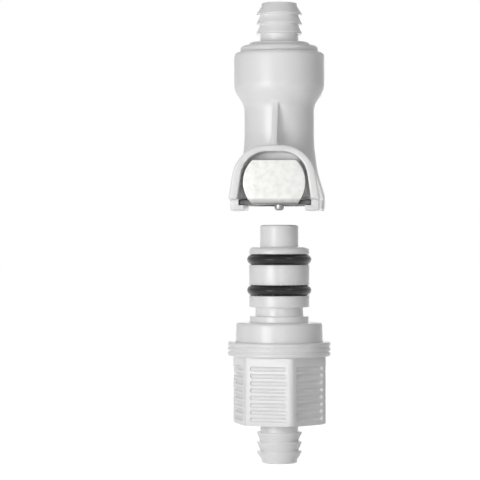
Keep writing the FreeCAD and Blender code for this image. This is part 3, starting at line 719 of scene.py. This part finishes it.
# Insert poppet: its nose is a white acetal tube that stands out of the front land, open at the tip,
# with four windows above the disc that closes the insert. A spring behind the disc holds it out.
NOSE = 4.65
NOSE_TOP = -44.4
NOSE_INSIDE = 3.3
NOSE_FLOOR = -70.8
DISC_RADIUS = 6.3
DISC_TOP = -71.04
DISC_BOTTOM = -72.41
STEM_RADIUS = 1.5
STEM_LOW = -79.8
WINDOW_HALF = 1.5
WINDOW_LOW = -69.8
WINDOW_HIGH = -66.9
INSERT_SPRING_HIGH = -72.43
INSERT_SPRING_LOW = -78.38
poppet = turn("insert_poppet_moulding", [
    (NOSE_INSIDE, NOSE_FLOOR, 0.2),
    (NOSE_INSIDE, NOSE_TOP, 0.15),
    (NOSE, NOSE_TOP, 0.45),
    (NOSE, DISC_TOP, 0),
    (DISC_RADIUS, DISC_TOP, 0.12),
    (DISC_RADIUS, DISC_BOTTOM, 0.35),
    (STEM_RADIUS, DISC_BOTTOM, 0.3),
    (STEM_RADIUS, STEM_LOW, 0.35),
], hollow=False)
windows = [
    block("window_along", (-NOSE - 1, -WINDOW_HALF, WINDOW_LOW),
          (NOSE + 1, WINDOW_HALF, WINDOW_HIGH)),
    block("window_across", (-WINDOW_HALF, -NOSE - 1, WINDOW_LOW),
          (WINDOW_HALF, NOSE + 1, WINDOW_HIGH)),
]
combine(poppet, windows, "DIFFERENCE")
bpy.ops.object.shade_smooth_by_angle(angle=SMOOTH_ANGLE)
join_frame(poppet, ACETAL, "insert_valve_poppet", "insert_valve")
insert_spring = coil(
    "insert_valve_coil", VALVE_COIL, VALVE_WIRE, 4, INSERT_SPRING_LOW, INSERT_SPRING_HIGH)
join_frame(insert_spring, WIRE_STEEL, "insert_valve_spring", "insert_half")
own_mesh(insert_spring)

# Sealing rings of the insert: two black moulded rubber rings stretched over the lands into their
# grooves. Each has a fine parting line round its widest part, where its mould closed.
RING_OUTSIDE = 7.85
RING_CORD = 2.5
PARTING = 0.03
rings = (("front_ring", RING_1, "front_oring"), ("rear_ring", RING_2, "rear_oring"))
for name, level, node in rings:
    bpy.ops.object.select_all(action="DESELECT")
    bpy.ops.mesh.primitive_torus_add(
        major_segments=144, minor_segments=32, major_radius=(RING_OUTSIDE - RING_CORD / 2) * MM,
        minor_radius=RING_CORD / 2 * MM, location=(0, 0, level * MM))
    ring = settle(name + "_rubber")
    widest = (RING_OUTSIDE - 0.005) * MM
    spread = (RING_OUTSIDE + PARTING) / RING_OUTSIDE
    pick(ring, "EDGE", lambda p: math.hypot(p.x, p.y) > widest)
    bpy.ops.mesh.bevel(offset=PARTING * 1.6 * MM, segments=2, profile=0.5, affect="EDGES")
    shift(ring, lambda p: math.hypot(p.x, p.y) > widest, scale=(spread, spread, 1))
    bpy.ops.object.shade_smooth()
    join_frame(ring, RUBBER, node, "seal_rings")

# Grip sleeve: the hexagonal hand grip of white acetal with a flange of three round ridges on top,
# welded to the bell. Each flat has eight shallow finger slots, and the corners are rounded off.
FLANGE = 12.55
FLANGE_INSIDE = 9.25
FLANGE_HEIGHT = 3.5
RIDGES = 3
RIDGE_PITCH = FLANGE_HEIGHT / RIDGES
RIDGE_DEPTH = 0.35
RIDGE_SLOPE = 0.3
FLANGE_BOTTOM = -76.3
GRIP_BOTTOM = -92.7
GRIP_FLAT = 10.25
GRIP_CORNER = 11.75
GRIP_EDGE = 0.69
GRIP_TURN = math.radians(-9.6)
SLEEVE_BORE = 8.85
SLEEVE_LIP = 6.25
LIP_TOP = GRIP_BOTTOM + 1.6
SLOT_ROWS = 8
SLOT_FIRST = 2.7
SLOT_PITCH = 1.735
SLOT_RADIUS = 0.58
SLOT_HALF_WIDTH = 4.55
SLOT_DEPTH = 0.52


def round_along(piece, axis, setback, steps):
    """Bevel the edges of a piece that run along an axis, 0 for X to 2 for Z."""
    pick(piece, "EDGE", lambda p: False)
    bpy.ops.object.mode_set(mode="OBJECT")
    points = piece.data.vertices
    for edge in piece.data.edges:
        run = points[edge.vertices[0]].co - points[edge.vertices[1]].co
        edge.select = abs(run[axis]) > 0.9 * run.length
    bpy.ops.object.mode_set(mode="EDIT")
    bpy.ops.mesh.bevel(offset=setback * MM, segments=steps, profile=0.5, affect="EDGES")
    close_up(piece)


bpy.ops.object.select_all(action="DESELECT")
bpy.ops.mesh.primitive_cylinder_add(
    vertices=6, radius=GRIP_FLAT / math.cos(math.radians(30)) * MM,
    depth=(FLANGE_BOTTOM - GRIP_BOTTOM) * MM,
    location=(0, 0, (FLANGE_BOTTOM + GRIP_BOTTOM) / 2 * MM), rotation=(0, 0, math.radians(30)))
sleeve = settle("grip_sleeve_moulding")
round_along(sleeve, 2, GRIP_EDGE, 4)
barrel = turn("barrel", [
    (GRIP_CORNER, GRIP_BOTTOM, 0.7),
    (GRIP_CORNER, FLANGE_BOTTOM + 1, 0),
], hollow=False)
combine(sleeve, [barrel], "INTERSECT")
slot = rod("slot", SLOT_RADIUS, -SLOT_HALF_WIDTH, SLOT_HALF_WIDTH, "X",
           (-GRIP_FLAT - SLOT_RADIUS + SLOT_DEPTH, FLANGE_BOTTOM - SLOT_FIRST))
for sign in (1, -1):
    round_off(slot, lambda p: p.x * sign > 0, SLOT_RADIUS * 0.9, 5)
slots = []
for side in range(6):
    for row in range(SLOT_ROWS):
        copy = slot.copy()
        copy.data = slot.data.copy()
        copy.location.z = -row * SLOT_PITCH * MM
        copy.rotation_euler.z = math.radians(60 * side)
        bpy.context.collection.objects.link(copy)
        slots.append(copy)
bpy.data.objects.remove(slot)
bpy.ops.object.select_all(action="DESELECT")
for copy in slots:
    copy.select_set(True)
bpy.context.view_layer.objects.active = slots[0]
bpy.ops.object.join()
combine(sleeve, [slots[0]], "DIFFERENCE")
sleeve.rotation_euler.z = GRIP_TURN
apply_place(sleeve)
flange_rings = [(FLANGE_INSIDE, BELL_BOTTOM, 0)]
for ridge in range(RIDGES):
    top = BELL_BOTTOM - ridge * RIDGE_PITCH
    flange_rings.append((FLANGE - RIDGE_DEPTH, top, 0.08))
    flange_rings.append((FLANGE, top - RIDGE_SLOPE, 0.2))
    flange_rings.append((FLANGE, top - RIDGE_PITCH + RIDGE_SLOPE, 0.2))
flange_rings.append((FLANGE - RIDGE_DEPTH, FLANGE_BOTTOM, 0.08))
flange_rings.append((FLANGE_INSIDE, FLANGE_BOTTOM, 0))
flange = turn("flange", flange_rings, hollow=False)
combine(sleeve, [flange], "UNION")
bore = turn("bore", [
    (SLEEVE_BORE, BELL_BOTTOM + 1, 0),
    (SLEEVE_BORE, LIP_TOP, 0),
    (SLEEVE_LIP, LIP_TOP, 0),
    (SLEEVE_LIP, GRIP_BOTTOM - 1, 0),
], hollow=False)
combine(sleeve, [bore], "DIFFERENCE")
bpy.ops.object.shade_smooth_by_angle(angle=SMOOTH_ANGLE)
join_frame(sleeve, ACETAL, "grip_sleeve", "insert_half")

# Lower hose barb: like the upper one, on a plug that the sleeve's lip holds in. It is moulded of the
# same white acetal, and its flow chamber opens towards the insert's valve.
BARB_PLUG = 8.82
BARB_PLUG_TOP = -80.02
BARB_PLUG_BOTTOM = -91.08
BARB_NECK = 6.22
FLOW_CHAMBER = 6.2
CHAMBER_CONE_TOP = -86.48
CHAMBER_CONE_BOTTOM = -89.48
BARB_GROOVE = 7.31
BARB_GROOVE_TOP = -81.62
BARB_GROOVE_BOTTOM = -83.16
lower_barb = turn("lower_barb_moulding", [
    (FLOW_CHAMBER, BARB_PLUG_TOP, 0),
    (BARB_PLUG, BARB_PLUG_TOP, 0.15),
    (BARB_PLUG, BARB_GROOVE_TOP, 0),
    (BARB_GROOVE, BARB_GROOVE_TOP, 0),
    (BARB_GROOVE, BARB_GROOVE_BOTTOM, 0),
    (BARB_PLUG, BARB_GROOVE_BOTTOM, 0),
    (BARB_PLUG, BARB_PLUG_BOTTOM, 0.15),
    (BARB_NECK, BARB_PLUG_BOTTOM, 0),
    (BARB_NECK, GRIP_BOTTOM, 0.1),
] + barb(GRIP_BOTTOM, -1) + [
    (FLOW_BORE, CHAMBER_CONE_BOTTOM, 0),
    (FLOW_CHAMBER, CHAMBER_CONE_TOP, 0),
])
join_frame(lower_barb, ACETAL, "insert_hose_barb", "insert_half")

# Floor, light and camera: a plain white floor just under the lower barb, a large soft lamp at the
# left, a small one in front for the highlights, and two weak ones above and behind. The camera is
# level at mid height, a little to the right of the thumb pad.
PIXEL = 0.244 * MM
IMAGE_SIDE = 480
AXIS_PIXEL = 279.3
ORIGIN_PIXEL = 43.0
VIEW_AZIMUTH = math.radians(6.7)
LENS = 150.0
SENSOR = 36.0
FLOOR_SIZE = 6.0
FLOOR_GAP = 0.2 * MM
FLOOR_SEEN = 0.8
FLOOR_MIRRORED = 1.2
AMBIENT = 0.15
low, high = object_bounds()
distance = PIXEL * IMAGE_SIDE * LENS / SENSOR
eye_z = -(IMAGE_SIDE / 2 - ORIGIN_PIXEL) * PIXEL
across = (AXIS_PIXEL - IMAGE_SIDE / 2) * PIXEL
right = (math.cos(VIEW_AZIMUTH), math.sin(VIEW_AZIMUTH))
ahead = (-right[1], right[0])
bpy.ops.object.camera_add(
    location=(
        -ahead[0] * distance - right[0] * across, -ahead[1] * distance - right[1] * across, eye_z),
    rotation=(math.radians(90), 0, VIEW_AZIMUTH))
camera = bpy.context.object
camera.data.lens = LENS
camera.data.sensor_width = SENSOR
camera.data.clip_start = 0.01
camera.data.clip_end = 20.0
bpy.context.scene.camera = camera

bpy.ops.object.select_all(action="DESELECT")
bpy.ops.mesh.primitive_plane_add(size=FLOOR_SIZE, location=(0, 0, low[2] - FLOOR_GAP))
floor = bpy.context.object
floor.name = "floor"
floor_finish = Finish("floor_white")
seen = floor_finish.add("ShaderNodeLightPath", output="Is Camera Ray")
mirrored = floor_finish.add("ShaderNodeLightPath", output="Is Glossy Ray")
floor_finish.shade(
    Base_Color=(0.9, 0.9, 0.9, 1), Roughness=0.9, Emission_Color=(1, 1, 1, 1),
    Emission_Strength=seen * FLOOR_SEEN + mirrored * FLOOR_MIRRORED)
dress(floor, floor_finish.material)

world = bpy.data.worlds.new("studio")
bpy.context.scene.world = world
world.use_nodes = True
studio = Bench(world.node_tree)
backdrop = studio.tree.nodes["Background"]
unseen = 1
for ray in ("Is Camera Ray", "Is Glossy Ray", "Is Transmission Ray"):
    unseen = unseen * (1 - studio.add("ShaderNodeLightPath", output=ray))
studio.feed(backdrop.inputs["Color"], (1, 1, 1, 1))
studio.feed(backdrop.inputs["Strength"], 1 - unseen * (1 - AMBIENT))


def lamp(name, place, aim, side, watts):
    """Square soft lamp at a place, turned to face a point."""
    bpy.ops.object.light_add(type="AREA", location=place)
    light = bpy.context.object
    light.name = name
    light.data.shape = "SQUARE"
    light.data.size = side
    light.data.energy = watts
    reach = [a - b for a, b in zip(aim, place)]
    light.rotation_euler = (
        math.atan2(math.hypot(reach[0], reach[1]), -reach[2]), 0,
        math.atan2(reach[1], reach[0]) - math.pi / 2)


lamp("key_left", (-0.14, -0.27, -0.05), (0, 0, eye_z), 0.12, 0.47)
lamp("strip_right", (0.09, -0.36, -0.05), (0, 0, eye_z), 0.03, 0.09)
lamp("fill_high", (0.12, -0.12, 0.05), (0, 0, 0), 0.06, 0.03)
lamp("fill_behind", (0, 0.36, 0.0), (0, 0, eye_z), 0.2, 0.14)

bpy.context.scene.view_settings.view_transform = "Standard"
